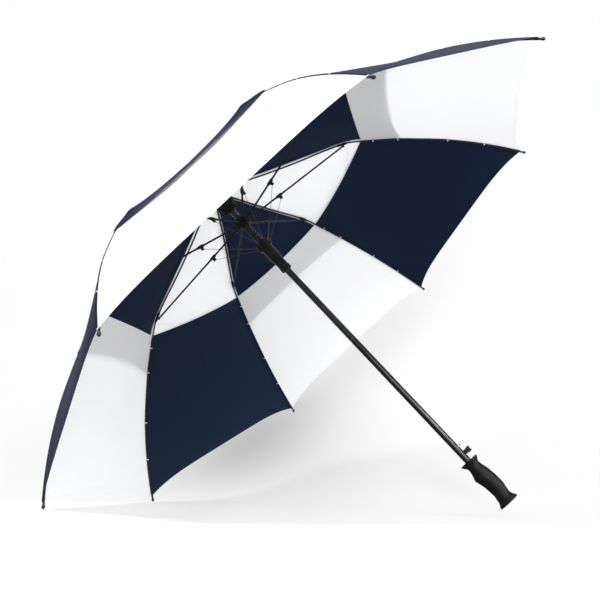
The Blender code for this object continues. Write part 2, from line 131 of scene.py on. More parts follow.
RIB_CURVE = Curve(np.concatenate([[0.0], RIB_LINE[:, 0]]),
                  np.concatenate([[RIB_LINE[0, 1] + RIB_LINE[0, 0] * CROWN_SLOPE], RIB_LINE[:, 1]]))


def rib_normal(radius):
    """Radial and upward parts of the unit normal on the rib's upper side."""
    slope = RIB_CURVE.slope(radius)
    return -slope / np.hypot(slope, 1), 1 / np.hypot(slope, 1)


def rib_path(start, end, count):
    radius = np.linspace(start, end, count)
    return np.stack([radius, np.zeros(count), RIB_CURVE.value(radius)], -1)


def spun(points, angle):
    """Points turned about the z axis."""
    c, s = math.cos(angle), math.sin(angle)
    p = np.asarray(points, float)
    return np.stack([c * p[..., 0] - s * p[..., 1], s * p[..., 0] + c * p[..., 1], p[..., 2]], -1)


def turned_to(k, points):
    """Points made in rib 1's plane, turned to rib k."""
    return spun(points, -SECTOR * (k - 1))


# ------------------------------------------------------------------ material nodes
class Nodes:
    """A new material and short ways to add its nodes."""

    def __init__(self, name):
        self.material = bpy.data.materials.new(name)
        self.material.use_nodes = True
        self.tree = self.material.node_tree
        for node in list(self.tree.nodes):
            self.tree.nodes.remove(node)
        self.output = self.add("ShaderNodeOutputMaterial")
        self.coord = self.add("ShaderNodeTexCoord")

    def add(self, kind, sockets=None, **settings):
        """A node with its settings, and its sockets by name or number."""
        node = self.tree.nodes.new(kind)
        for key, value in settings.items():
            setattr(node, key, value)
        for key, value in (sockets or {}).items():
            self.feed(node.inputs[key], value)
        return node

    def feed(self, socket, value):
        if isinstance(value, bpy.types.NodeSocket):
            self.tree.links.new(value, socket)
        else:
            socket.default_value = (*value, 1.0) if socket.type == "RGBA" else value

    def noise(self, scale, detail, rough, distortion=0.0, vector=None):
        return self.add("ShaderNodeTexNoise", {
            "Scale": scale, "Detail": detail, "Roughness": rough, "Distortion": distortion,
            "Vector": vector or self.coord.outputs["Object"]}).outputs["Fac"]

    def scaled(self, value, low, high):
        return self.add("ShaderNodeMapRange", {
            "To Min": low, "To Max": high, "Value": value}).outputs["Result"]

    def math(self, operation, *values):
        return self.add("ShaderNodeMath", dict(enumerate(values)), operation=operation).outputs[0]

    def mix(self, share, first, second):
        return self.add("ShaderNodeMix", {0: share, 6: first, 7: second},
                        data_type="RGBA").outputs[2]

    def bump(self, height, strength, distance, after=None):
        sockets = {"Strength": strength, "Distance": distance, "Height": height}
        if after is not None:
            sockets["Normal"] = after
        return self.add("ShaderNodeBump", sockets).outputs["Normal"]

    def principled(self, **sockets):
        """Socket names are given with underscores for spaces."""
        named = {key.replace("_", " "): value for key, value in sockets.items()}
        return self.add("ShaderNodeBsdfPrincipled", named)

    def rubbed(self, broad, colour, lighter, patch, edge, start, full):
        """Colour with lighter patches, and lighter where the edges are sharp."""
        geometry = self.add("ShaderNodeNewGeometry")
        ramp = self.add("ShaderNodeValToRGB")
        stops = ramp.color_ramp.elements
        while len(stops) > 1:
            stops.remove(stops[-1])
        stops[0].position, stops[0].color = start, (0, 0, 0, 1)
        stops.new(full).color = (1, 1, 1, 1)
        self.feed(ramp.inputs["Fac"], geometry.outputs["Pointiness"])
        worn = self.math("MULTIPLY", ramp.outputs["Color"], edge)
        return self.mix(worn, self.mix(self.scaled(broad, 0.0, patch), colour, lighter), lighter)

    def done(self, shader, preview):
        self.feed(self.output.inputs["Surface"], shader.outputs[0])
        self.material.diffuse_color = (*preview, 1.0)
        return self.material


WARP_SCALE, WEFT_SCALE = 520.0, 610.0
STITCH_ROWS = (0.0014, 0.0056)    # distance of each row from the hem
STITCH_PITCH = 0.0034
STITCH_SHARE = 0.66               # thread's share of the pitch
STITCH_HALF = 0.00034


def cloth_material(name, colour, dark, thread, *, through, sheen, rough,
                   sheen_tint=(1.0, 1.0, 1.0), spec=0.35, sheen_rough=0.35):
    """Woven pongee: crossed threads, slubs, stitched hems, and light coming through."""
    g = Nodes(name)
    uv = g.coord.outputs["UV"]
    warp, weft = [g.add("ShaderNodeTexWave", {"Scale": scale, "Distortion": 0.0, "Vector": uv},
                        wave_type="BANDS", bands_direction=direction, wave_profile="SIN")
                  for direction, scale in (("X", WARP_SCALE), ("Y", WEFT_SCALE))]
    weave = g.math("MULTIPLY", warp.outputs["Fac"], weft.outputs["Fac"])
    slub = g.noise(scale=900.0, detail=2.0, rough=0.6)
    cloud = g.noise(scale=5.5, detail=3.0, rough=0.5)
    crease = g.noise(scale=26.0, detail=2.0, rough=0.45, distortion=0.6)
    shade = g.mix(g.scaled(cloud, 0.0, 1.0), dark, colour)
    shade = g.mix(g.math("MULTIPLY", weave, 0.16), shade, thread)
    # stitching: dashes at two distances from a hem
    edge = g.add("ShaderNodeAttribute", attribute_name="hem_gap").outputs["Fac"]
    along = g.add("ShaderNodeSeparateXYZ", {"Vector": uv}).outputs["X"]
    phase = g.math("FRACT", g.math("MULTIPLY", along, 1 / STITCH_PITCH))
    dash = g.math("LESS_THAN", phase, STITCH_SHARE)
    rows = [g.math("LESS_THAN", g.math("ABSOLUTE", g.math("SUBTRACT", edge, row)), STITCH_HALF)
            for row in STITCH_ROWS]
    stitch = g.math("MULTIPLY", g.math("MAXIMUM", *rows), dash)
    shade = g.mix(g.math("MULTIPLY", stitch, 0.85), shade, thread)
    normal = g.bump(weave, strength=0.20, distance=0.00012)
    normal = g.bump(crease, strength=0.12, distance=0.0016, after=normal)
    raised = g.math("ADD", stitch, g.math("MULTIPLY", slub, 0.15))
    normal = g.bump(raised, strength=0.35, distance=0.00025, after=normal)
    surface = g.principled(
        Base_Color=shade, Roughness=g.scaled(slub, rough - 0.06, rough + 0.06), Metallic=0.0,
        Sheen_Weight=sheen, Sheen_Roughness=sheen_rough, Specular_IOR_Level=spec,
        Sheen_Tint=sheen_tint, Normal=normal)
    glow = g.add("ShaderNodeBsdfTranslucent", {"Color": shade, "Normal": normal})
    both = g.add("ShaderNodeMixShader",
                 {0: through, 1: surface.outputs[0], 2: glow.outputs[0]})
    return g.done(both, colour)


def plastic_material(name, colour, *, rough, grain=0.25, spec, fine=1400.0):
    """Moulded plastic: fine pebbled skin, handling marks, rubbed edges."""
    g = Nodes(name)
    skin = g.noise(scale=fine, detail=2.0, rough=0.5)
    marks = g.noise(scale=60.0, detail=5.0, rough=0.65)
    broad = g.noise(scale=18.0, detail=2.0, rough=0.5)
    lighter = tuple(min(1.0, c * 1.9 + 0.004) for c in colour)
    shade = g.rubbed(broad, colour, lighter, patch=0.5, edge=0.45, start=0.50, full=0.60)
    roughness = g.math("ADD", g.scaled(marks, rough - 0.10, rough + 0.08),
                       g.math("MULTIPLY", skin, 0.05))
    normal = g.bump(skin, strength=grain, distance=0.00018)
    normal = g.bump(marks, strength=0.05, distance=0.0006, after=normal)
    return g.done(g.principled(Base_Color=shade, Roughness=roughness, Metallic=0.0,
                               Normal=normal, Specular_IOR_Level=spec), colour)


STREAK = (1.0, 1.0, 0.04)         # texture scale: stretched along z


def metal_material(name, colour, *, rough, metallic, scratch=0.25, coat=0.0, spec=0.5):
    """Drawn or painted rod: streaks along z, scratches, edges rubbed a little brighter."""
    g = Nodes(name)
    mapping = g.add("ShaderNodeMapping", {"Scale": STREAK, "Vector": g.coord.outputs["Object"]})
    fine = g.noise(scale=900.0, detail=3.0, rough=0.5, vector=mapping.outputs["Vector"])
    broad = g.noise(scale=22.0, detail=4.0, rough=0.6)
    lighter = tuple(min(1.0, c * 1.8 + 0.008) for c in colour)
    shade = g.rubbed(broad, colour, lighter, patch=0.45, edge=0.5, start=0.52, full=0.64)
    roughness = g.math("ADD", g.scaled(broad, rough - 0.06, rough + 0.08),
                       g.math("MULTIPLY", fine, 0.06))
    normal = g.bump(fine, strength=scratch, distance=0.00006)
    normal = g.bump(broad, strength=0.04, distance=0.0004, after=normal)
    return g.done(g.principled(Base_Color=shade, Roughness=roughness, Metallic=metallic,
                               Normal=normal, Coat_Weight=coat, Coat_Roughness=0.12,
                               Specular_IOR_Level=spec), colour)


WHITE = cloth_material(
    "white_pongee", colour=(0.955, 0.955, 0.960), dark=(0.925, 0.928, 0.938),
    thread=(0.975, 0.975, 0.98), through=0.50, sheen=0.12, rough=0.60)
NAVY = cloth_material(
    "navy_pongee", colour=(0.0080, 0.0258, 0.0720), dark=(0.0056, 0.0190, 0.0540),
    thread=(0.020, 0.038, 0.084), through=0.50, sheen=0.30, rough=0.55,
    sheen_tint=(0.60, 0.55, 0.92), spec=0.22, sheen_rough=0.16)
SEAM_WHITE = cloth_material(
    "white_seam_tape", colour=(0.62, 0.62, 0.64), dark=(0.54, 0.54, 0.57),
    thread=(0.74, 0.74, 0.76), through=0.15, sheen=0.2, rough=0.65)
THREAD_WHITE = cloth_material(
    "white_thread", colour=(0.86, 0.86, 0.87), dark=(0.74, 0.74, 0.76),
    thread=(0.95, 0.95, 0.95), through=0.1, sheen=0.3, rough=0.70)
SHAFT_BLACK = metal_material("black_lacquered_steel", (0.0024, 0.0024, 0.0026), rough=0.18,
                             metallic=0.0, coat=0.50, scratch=0.10, spec=0.20)
RIB_BLACK = metal_material("black_fibreglass", (0.0046, 0.0046, 0.0050), rough=0.40,
                           metallic=0.0, scratch=0.35, spec=0.35)
STRETCH_BLACK = metal_material("black_painted_steel", (0.0034, 0.0034, 0.0037), rough=0.46,
                               metallic=0.0, scratch=0.3, spec=0.2)
HUB_BLACK = plastic_material("black_hub_plastic", (0.0026, 0.0027, 0.0029), rough=0.38, spec=0.20)
RUNNER_BLACK = plastic_material("black_runner_plastic", (0.0026, 0.0027, 0.0028), rough=0.30,
                                spec=0.24)
BUTTON_BLACK = plastic_material("black_button_plastic", (0.0030, 0.0030, 0.0032), rough=0.34,
                                spec=0.32)
GRIP_RUBBER = plastic_material("black_grip_rubber", (0.0036, 0.0036, 0.0038), rough=0.47,
                               grain=0.45, spec=0.24, fine=1100.0)
BLACK_SPRING = metal_material("blackened_spring", (0.005, 0.005, 0.0055), rough=0.32, metallic=0.3)
SPRING_STEEL = metal_material("spring_steel", (0.20, 0.20, 0.21), rough=0.30, metallic=1.0)
WIRE_STEEL = metal_material("wire_steel", (0.045, 0.045, 0.047), rough=0.42, metallic=0.5)
NICKEL = metal_material("nickel_plate", (0.62, 0.62, 0.63), rough=0.24, metallic=1.0)
TIP_METAL = metal_material("dark_tip_metal", (0.030, 0.030, 0.032), rough=0.30, metallic=0.7)
CLOTH = {"white": WHITE, "navy": NAVY}


# ------------------------------------------------------------------ mesh helpers
def mesh_object(name, verts, faces, mats, face_mats=None, smooth_deg=40.0, uv=None, attrs=None):
    """A smooth-shaded object; uv and attrs hold one entry for each vertex."""
    me = bpy.data.meshes.new(name)
    me.from_pydata([tuple(map(float, v)) for v in verts], [],
                   [tuple(map(int, f)) for f in faces])
    for mat in mats:
        me.materials.append(mat)
    if face_mats is not None:
        me.polygons.foreach_set("material_index", np.asarray(face_mats, np.int32))
    me.polygons.foreach_set("use_smooth", np.ones(len(me.polygons), bool))
    if uv is not None:
        layer = me.uv_layers.new(name="UVMap")
        corner = np.empty(len(me.loops), np.int32)
        me.loops.foreach_get("vertex_index", corner)
        layer.data.foreach_set("uv", np.asarray(uv, np.float32)[corner].ravel())
    for key, values in (attrs or {}).items():
        attribute = me.attributes.new(key, "FLOAT", "POINT")
        attribute.data.foreach_set("value", np.asarray(values, np.float32))
    me.update()
    me.validate()
    me.set_sharp_from_angle(angle=math.radians(smooth_deg))
    obj = bpy.data.objects.new(name, me)
    scene.collection.objects.link(obj)
    return obj


def shell_object(name, outer, inner, mat, uv, attrs=None):
    """A closed thin sheet from two matching grids of points, rows first."""
    rows, cols = outer.shape[:2]
    n = rows * cols
    idx = np.arange(n).reshape(rows, cols)
    faces = []
    for i in range(rows - 1):
        for j in range(cols - 1):
            a, b, c, d = idx[i, j], idx[i + 1, j], idx[i + 1, j + 1], idx[i, j + 1]
            faces.append((a, b, c, d))
            faces.append((n + a, n + d, n + c, n + b))
    rim = [(idx[i, 0], idx[i + 1, 0]) for i in range(rows - 1)]
    rim += [(idx[-1, j], idx[-1, j + 1]) for j in range(cols - 1)]
    rim += [(idx[i + 1, -1], idx[i, -1]) for i in reversed(range(rows - 1))]
    rim += [(idx[0, j + 1], idx[0, j]) for j in reversed(range(cols - 1))]
    for a, b in rim:
        faces.append((b, a, n + a, n + b))
    verts = np.concatenate([outer.reshape(-1, 3), inner.reshape(-1, 3)])
    # all faces turn outwards together: the first outer face decides
    a, b, c = faces[0][:3]
    normal = np.cross(verts[b] - verts[a], verts[c] - verts[a])
    if normal @ (verts[a] - verts[n + a]) < 0:
        faces = [tuple(reversed(f)) for f in faces]
    both_uv = np.concatenate([uv.reshape(-1, 2)] * 2)
    both_attrs = {key: np.concatenate([v.ravel()] * 2) for key, v in (attrs or {}).items()}
    return mesh_object(name, verts, faces, [mat], uv=both_uv, attrs=both_attrs)


def outward(obj):
    bm = bmesh.new()
    bm.from_mesh(obj.data)
    bmesh.ops.recalc_face_normals(bm, faces=bm.faces)
    bm.to_mesh(obj.data)
    bm.free()


def tube_faces(rings, sides):
    """Faces of a tube of rings, with a cap at each end."""
    faces = []
    for i in range(rings - 1):
        for j in range(sides):
            k = (j + 1) % sides
            faces.append((i * sides + j, i * sides + k, (i + 1) * sides + k, (i + 1) * sides + j))
    faces.append(tuple(reversed(range(sides))))
    faces.append(tuple((rings - 1) * sides + j for j in range(sides)))
    return faces


def frames_along(path):
    """Side and up vectors along a path that stays near one plane."""
    tangent = np.gradient(path, axis=0)
    tangent /= np.linalg.norm(tangent, axis=1, keepdims=True)
    flat = np.cross(path[-1] - path[0], [0, 0, 1.0])
    if np.linalg.norm(flat) < 1e-6:
        flat = np.array([0, 1.0, 0])
    flat = flat / np.linalg.norm(flat)
    side = flat - (tangent @ flat)[:, None] * tangent
    side /= np.linalg.norm(side, axis=1, keepdims=True)
    return side, np.cross(side, tangent)


def rod_object(name, path, half_side, half_up, mat, sides=14, power=2.0):
    """A rod whose half widths may vary along it. A power above 2 squares its section off."""
    side, up = frames_along(path)
    half_side = np.broadcast_to(np.asarray(half_side, float), (len(path),))
    half_up = np.broadcast_to(np.asarray(half_up, float), (len(path),))
    angle = 2 * math.pi * np.arange(sides) / sides
    c, s = np.cos(angle), np.sin(angle)
    c = np.sign(c) * np.abs(c) ** (2.0 / power)
    s = np.sign(s) * np.abs(s) ** (2.0 / power)
    verts = (path[:, None] + side[:, None] * (half_side[:, None] * c)[..., None]
             + up[:, None] * (half_up[:, None] * s)[..., None])
    obj = mesh_object(name, verts.reshape(-1, 3), tube_faces(len(path), sides), [mat],
                      smooth_deg=50)
    outward(obj)
    return obj


def joined(name, objects):
    """Several meshes of one material each as one object with no shared vertices."""
    verts, faces, mats, face_mats, base = [], [], [], [], 0
    for obj in objects:
        me = obj.data
        co = np.empty(len(me.vertices) * 3)
        me.vertices.foreach_get("co", co)
        verts.append(co.reshape(-1, 3))
        mat = me.materials[0]
        if mat not in mats:
            mats.append(mat)
        for face in me.polygons:
            faces.append(tuple(base + v for v in face.vertices))
            face_mats.append(mats.index(mat))
        base += len(me.vertices)
        bpy.data.objects.remove(obj)
    return mesh_object(name, np.concatenate(verts), faces, mats, face_mats)


# ------------------------------------------------------------------ shape of the cloth
# A "share" is a radius on the open cloth at the rib, before the hem's scallop draws it in.
SPAN = {"lower": (0.372, 0.668), "upper": (0.010, 0.455)}   # first and last share
LOWER_LIFT = 0.0034               # cloth above the rib's line
THICKNESS = 0.0004
HEM = 0.0075                      # width folded over
HEM_FOLD = 0.00055                # extra thickness of the fold
# Distances from a hem at which rows stand closer together
NEAR_HEM = np.array([0.0009, 0.0050, 0.0066, 0.0071, 0.0075, 0.0079, 0.0084, 0.0105])
CUT_DEG = 24.0                    # tilt of the plane that parts knee from skirt
HALF_SPREAD = 0.383               # half a sector's width, over the radius
SPARE_STEP = 0.0005               # halves stand this far off the form where they overlap
TUCK_STEP = 0.0007                # last knee rows slip this far under the skirt
MEET = 0.0002                     # how far a folded half passes the plane between two ribs


def ease(x):
    x = np.clip(x, 0, 1)
    return x * x * (3 - 2 * x)


def upper_lift(radius):
    """Height of the upper cloth above the rib's line, less on the way to the bend."""
    return 0.0060 - 0.0022 * ease((0.366 - radius) / 0.030) * ease((radius - 0.20) / 0.08)


def gore(kind, share, across, k=0):
    """A point of sector cloth in the frame of its first rib: x radial, y towards the other rib.

    across runs from 0 at the first rib to 1 at the other."""
    share, across = np.broadcast_arrays(np.asarray(share, float), np.asarray(across, float))
    inner, outer = SPAN[kind]
    t = (share - inner) / (outer - inner)
    within = np.clip(t, 0, 1)
    bulge = np.clip(4 * np.abs(across) * (1 - np.abs(across)), 0, None)
    # scallop of the hem, sag between the ribs, small ripples, height above the rib
    if kind == "lower":
        scallop = 0.0115 * (1 - np.abs(2 * across - 1) ** 5)
        sag = -0.0120 * (1 - within) ** 1.6 - 0.0050 * np.sin(math.pi * within)
        ripple = (0.0007 * np.sin(2 * math.pi * (2.5 * across + 0.13 * k))
                  * np.sin(math.pi * within ** 0.8))
        lift = LOWER_LIFT
    else:
        scallop = 0.0130 * (1 - (2 * across - 1) ** 2)
        sag = -0.0115 * np.exp(-((np.clip(t, 0, 1.1) - 0.84) / 0.28) ** 2)
        ripple = 0.0004 * np.sin(2 * math.pi * (2.0 * across + 0.21 * k)) * within ** 2
        lift = upper_lift(share)
        bulge = bulge ** 0.8
    radius = share - scallop * np.clip(t, 0, None) ** 3
    nx, nz = rib_normal(radius)
    lifted = radius + nx * lift
    off = (sag + ripple) * bulge
    x = lifted * ((1 - across) + across * math.cos(SECTOR)) + nx * off * math.cos(SECTOR / 2)
    y = lifted * across * math.sin(SECTOR) + nx * off * math.sin(SECTOR / 2)
    return np.stack([x, y, RIB_CURVE.value(radius) + nz * lift + nz * off], -1)


def first_not(below, low, high):
    """Where below(value) turns from true to false, by halving."""
    for _ in range(40):
        middle = (low + high) / 2
        low, high = (middle, high) if below(middle) else (low, middle)
    return high


@functools.lru_cache(maxsize=None)
def bend_share(across):
    """Share at which the upper cloth crosses the tilted plane through the rib's bend."""
    c, s = math.cos(math.radians(CUT_DEG)), math.sin(math.radians(CUT_DEG))

    def inside(share):
        x, _, z = gore("upper", share, across)
        return (x - FLEX[0]) * c - (z - FLEX[1]) * s < 0

    return first_not(inside, 0.30, 0.44)


def spare_cloth(share):
    """Width carried past the middle near the crown, where folded ribs need more than open ones."""
    return np.interp(share, [0.010, 0.020, 0.035, 0.058, 0.072, 0.100],
                     [0.0060, 0.0110, 0.0150, 0.0110, 0.0055, 0.0])


def own_rib(k, half):
    return k if half == "a" else k % RIB_COUNT + 1


def mirror(half):
    """Half "a" lies on its rib's side of negative y, half "b" on the other."""
    return np.array([1, -1 if half == "a" else 1, 1.0])


def half_gore(name, kind, k, half, rows_at, cols, mat, hem_in=False, hem_out=False,
              spare=False, tuck=0):
    """Half a sector's cloth as a thin closed sheet.

    rows_at(across) gives the shares of its rows, spare carries it on past the middle, and
    tuck counts the last rows that slip under the next piece."""
    base = np.linspace(0, 0.5, cols)
    shares = np.stack([rows_at(across) for across in base], 1)
    across = np.broadcast_to(base, shares.shape).copy()
    step = np.zeros(across.shape)
    if spare:
        more = np.clip(0.5 * spare_cloth(shares) / (shares * HALF_SPREAD), 0, 0.455)
        across = across * (1 + 2 * more)
        step = ((SPARE_STEP if half == "a" else -SPARE_STEP) * ease(across / 0.25)
                * (1 - ease((shares - 0.070) / 0.030)))
    if tuck:
        step[-tuck:] = -TUCK_STEP * ease(across[-tuck:] / 0.10)
    grid = gore(kind, shares, across, k)
    # normals by small differences on the smooth form
    e = 1e-4
    normal = np.cross(gore(kind, shares + e, across, k) - gore(kind, shares - e, across, k),
                      gore(kind, shares, across + e, k) - gore(kind, shares, across - e, k))
    normal /= np.linalg.norm(normal, axis=-1, keepdims=True)
    normal *= np.sign(normal[..., 2:3])
    grid = grid + normal * step[..., None]
    # lengths down the cloth and across it
    down = np.cumsum(np.linalg.norm(np.diff(grid, axis=0), axis=-1), 0)
    down = np.concatenate([np.zeros((1, cols)), down])
    side = np.cumsum(np.linalg.norm(np.diff(grid, axis=1), axis=-1), 1)
    side = np.concatenate([np.zeros((len(grid), 1)), side], 1)
    gap = np.full(down.shape, 0.05)
    if hem_out:
        gap = np.minimum(gap, down[-1:] - down)
    if hem_in:
        gap = np.minimum(gap, down)
    fold = 1 / (1 + np.exp((gap - HEM) / 0.00035))
    outer = grid + normal * THICKNESS / 2
    inner = grid - normal * (THICKNESS / 2 + HEM_FOLD * fold)[..., None]
    rib, flip = own_rib(k, half), mirror(half)
    return shell_object(name, turned_to(rib, outer * flip), turned_to(rib, inner * flip), mat,
                        uv=np.stack([side, down + k * 0.013], -1), attrs={"hem_gap": gap})


# ------------------------------------------------------------------ how much width each half keeps when folded
def turned_about(p, centre, angle):
    c, s = math.cos(angle), math.sin(angle)
    dx, dz = p[..., 0] - centre[0], p[..., 2] - centre[1]
    return np.stack([centre[0] + c * dx + s * dz, p[..., 1], centre[1] - s * dx + c * dz], -1)


def lay(kind, start, end, lean):
    """Direction in which the piece between two shares is gathered, and its rib line's middle."""
    first, last = gore(kind, start, 0.0), gore(kind, end, 0.0)
    run = last - first
    fall = math.atan2(-run[2], run[0])
    axis = np.array([-math.sin(lean) * math.sin(fall), math.cos(lean),
                     -math.sin(lean) * math.cos(fall)])
    return axis, (first + last) / 2


def past_middle(kind, start, end, beyond, keep, lean):
    """Least distance by which the folded loose edge passes the plane midway between two ribs."""
    axis, middle = lay(kind, start, end, lean)
    p = gore(kind, np.linspace(start, end, 9), np.full(9, 0.5))
    p = p - ((p - middle) @ axis)[:, None] * (1 - keep) * axis
    if beyond:
        p = turned_about(p, FLEX, -BACK)
    p = turned_about(p, PIN, FOLD)
    return float((p[:, 1] * math.cos(SECTOR / 2) - p[:, 0] * math.sin(SECTOR / 2)).min())


@functools.lru_cache(maxsize=None)
def keep_for(kind, start, end, beyond, lean):
    """The share of its width that a half keeps so that it just meets its neighbour folded."""
    def short(keep):
        return past_middle(kind, start, end, beyond, keep, lean) < MEET

    return 1.0 if short(1.0) else first_not(short, 0.03, 1.0)


def gather(obj, kind, start, end, lean_deg, beyond=False):
    """Works out the width the half keeps folded, and gives it its own mesh if that is less than
    all.
    """
    lean = math.radians(lean_deg)
    keep = keep_for(kind, start, end, beyond, lean)
    if keep >= 0.999:
        return
    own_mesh(obj)


# ------------------------------------------------------------------ canopy
UPPER_RINGS = [0.058, 0.070, 0.084, 0.100, 0.120, 0.145, 0.175, 0.210, 0.250, 0.300]
UPPER_ROW_STEP = 0.0055
LOWER_RINGS = [0.372, 0.440, 0.510, 0.570, 0.620, 0.668]
LOWER_LEANS = (12.0, 13.5, 15.0, 15.0, 15.0)   # degrees, for each lower ring
ROW_CLEAR = 0.002                 # least gap between an even row and a closer one


def rows_between_hems(start, end, count, scale):
    """Even rows from start to end, closer together at both hems."""
    near = NEAR_HEM * scale
    rows = [r for r in np.linspace(start, end, count) if r < end - near[-1] - ROW_CLEAR]
    rows += [end - x for x in reversed(near)] + [end]
    later = [r for r in rows if r > start + near[-1] + ROW_CLEAR]
    return [start] + [start + x for x in near] + later


LOWER_ROWS = rows_between_hems(*SPAN["lower"], count=34, scale=0.72)


def knee_rows(across):
    """Even rows to the bend, then two that reach under the skirt."""
    bend = bend_share(across)
    reach = 4 * across * (1 - across) * float(ease((across - 0.22) / 0.16))
    return np.concatenate([np.linspace(UPPER_RINGS[-1], bend, 11),
                           [bend + 0.0003 + 0.0011 * reach, bend + 0.0006 + 0.0060 * reach]])


def skirt_rows(across):
    """Rows from the bend to the upper hem."""
    end = SPAN["upper"][1]
    near = NEAR_HEM * 0.80
    return np.concatenate([np.linspace(bend_share(across), end - near[-1] - 0.003, 10),
                           end - near[::-1], [end]])


def cloth_piece(part, kind, k, half, rows_at, cols, **options):
    """Half a gore in its sector's colour, and the name of that colour's slot."""
    colour = "navy" if (k % 2 == 1) == (kind == "upper") else "white"
    obj = half_gore("canopy_%s_%d%s" % (part, k, half), kind, k, half, rows_at, cols,
                    CLOTH[colour], **options)
    return obj, colour + "_cloth"


def crown_piece(k, half):
    """Held under the ferrule, bends down over the rib's inner end."""
    start, end = SPAN["upper"][0], UPPER_RINGS[0]
    obj, slot = cloth_piece("crown", "upper", k, half, lambda across: np.linspace(start, end, 13),
                            13, spare=True)
    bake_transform(obj)


def upper_pieces(k, half):
    for i, (start, end) in enumerate(zip(UPPER_RINGS, UPPER_RINGS[1:])):
        count = max(4, int(round((end - start) / UPPER_ROW_STEP)) + 1)
        obj, slot = cloth_piece("upper%d" % (i + 1), "upper", k, half,
                                lambda across: np.linspace(start, end, count), 13,
                                spare=start < 0.095)
        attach(obj, "rib_%d" % own_rib(k, half))
        gather(obj, "upper", start, end, lean_deg=6.0 if end < 0.28 else 8.0)


def knee_piece(k, half):
    """From the last upper ring down to the rib's bend."""
    obj, slot = cloth_piece("knee", "upper", k, half, knee_rows, 13, tuck=2)
    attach(obj, "rib_%d" % own_rib(k, half))
    gather(obj, "upper", 0.300, 0.350, lean_deg=10.0)


def skirt_piece(k, half):
    """From the rib's bend to the upper hem."""
    obj, slot = cloth_piece("skirt", "upper", k, half, skirt_rows, 15, hem_out=True)
    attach(obj, "rib_end_%d" % own_rib(k, half))
    gather(obj, "upper", 0.345, 0.455, lean_deg=20.0, beyond=True)
    if half == "a":
        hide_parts("upper_panel_%d" % k)


def lower_pieces(k, half):
    for i, (start, end) in enumerate(zip(LOWER_RINGS, LOWER_RINGS[1:])):
        first, last = i == 0, i == len(LOWER_RINGS) - 2
        low = start if first else start + ROW_CLEAR
        high = end if last else end - ROW_CLEAR
        rows = np.array([start] + [r for r in LOWER_ROWS if low < r < high] + [end])
        obj, slot = cloth_piece("lower%d" % (i + 1), "lower", k, half, lambda across: rows, 17,
                                hem_in=first, hem_out=last)
        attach(obj, "rib_end_%d" % own_rib(k, half))
        gather(obj, "lower", start, end, lean_deg=LOWER_LEANS[i], beyond=True)
        if half == "a" and i == 1:
            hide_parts("lower_panel_%d" % k)


for k in range(1, RIB_COUNT + 1):
    for half in "ab":
        crown_piece(k, half)
        upper_pieces(k, half)
        knee_piece(k, half)
        skirt_piece(k, half)
        lower_pieces(k, half)

# ------------------------------------------------------------------ ribs
# Cranked inner end of the rod, from the crown pin to the rib's line
CRANK = np.array([
    (PIN[0] - 0.0010, 0, PIN[1]), (PIN[0] + 0.0014, 0, PIN[1] + 0.0060),
    (0.0210, 0, PIN[1] + 0.0190), (0.0285, 0, PIN[1] + 0.0320),
    (0.0400, 0, 0.9012), (*RIB_LINE[0, :1], 0, RIB_LINE[0, 1])])
# Half width of the rod: radii, half widths
ROD_HALF = ([0, 0.30, 0.33, 0.345, 0.36, 0.67], [0.0019, 0.0019, 0.0019, 0.00185, 0.0017, 0.0016])
EYE_HALF_UP = [0.0012, 0.0026, 0.0030, 0.0030, 0.0027, 0.0023, 0.0017]
SLEEVE_HALF = [0.0022, 0.0029, 0.0032, 0.0032, 0.0030, 0.0031, 0.0032, 0.0031, 0.0030, 0.0032,
               0.0032, 0.0029, 0.0022]
# Lug under the sleeve: height, half width
LUG = [(0.8386, 0.0042), (0.8366, 0.0041), (0.8345, 0.0040), (0.8325, 0.0038), (0.8310, 0.0030),
       (0.8303, 0.0014)]
# Tip: radii of the ferrule on the rod; then distance past its end and radius of neck and bead
FERRULE_HALF = [0.0018, 0.0022, 0.0022, 0.0022, 0.0022]
BEAD = [(0.0006, 0.0021), (0.0012, 0.0022), (0.0018, 0.0026), (0.0026, 0.0031),
        (0.0044, 0.0033), (0.0064, 0.0030), (0.0080, 0.0021), (0.0088, 0.0007)]
TIE_RADII = (0.3960, 0.4480, 0.5458, 0.6100)   # where on the rib each tie stands
TIE_HALF_SIDE, TIE_HALF_UP = 0.0026, 0.0029
TIE_RISE = 0.0010                 # centre of a tie above the rib's line
# Section of a tie's band: along the rib, outwards
TIE_BAND = [(0.0012, 0.0), (0.0006, 0.0006), (-0.0006, 0.0006), (-0.0012, 0.0),
            (-0.0006, -0.0003), (0.0006, -0.0003)]
SEAM_THICKNESS = 0.0004
SEAM_FALL = 0.41                  # how a seam follows the gore away from the rib
# Seams, by column: distance across, and height above the rib's line (or below the cloth)
LAP_ACROSS = np.array([-0.0006, 0.0004, 0.0016, 0.0025])
LAP_LIFT = np.array([0.0039, 0.0041, 0.0040, 0.0037])
TAPE_ACROSS = np.array([0.0004, 0.0020, 0.0038, 0.0052])
TAPE_DROP = np.array([0.0010, 0.0014, 0.0017, 0.0019])
# Tape stretches: name, first and last radius, beyond the bend, lean in degrees, width kept
TAPES = (("top", 0.070, 0.175, False, 6.0, 0.45),
         ("mid", 0.175, 0.3435, False, 6.0, 0.20),
         ("low", 0.3465, 0.4470, True, 18.5, 0.10))


def spline_through(points, steps):
    """A smooth line through a few points, with so many steps between each two."""
    q = np.concatenate([[2 * points[0] - points[1]], points, [2 * points[-1] - points[-2]]])
    out = []
    for a, b, c, d in zip(q, q[1:], q[2:], q[3:]):
        for t in np.arange(steps) / steps:
            out.append(0.5 * ((2 * b) + (-a + c) * t + (2 * a - 5 * b + 4 * c - d) * t * t
                              + (-a + 3 * b - 3 * c + d) * t**3))
    out.append(points[-1])
    return np.array(out)


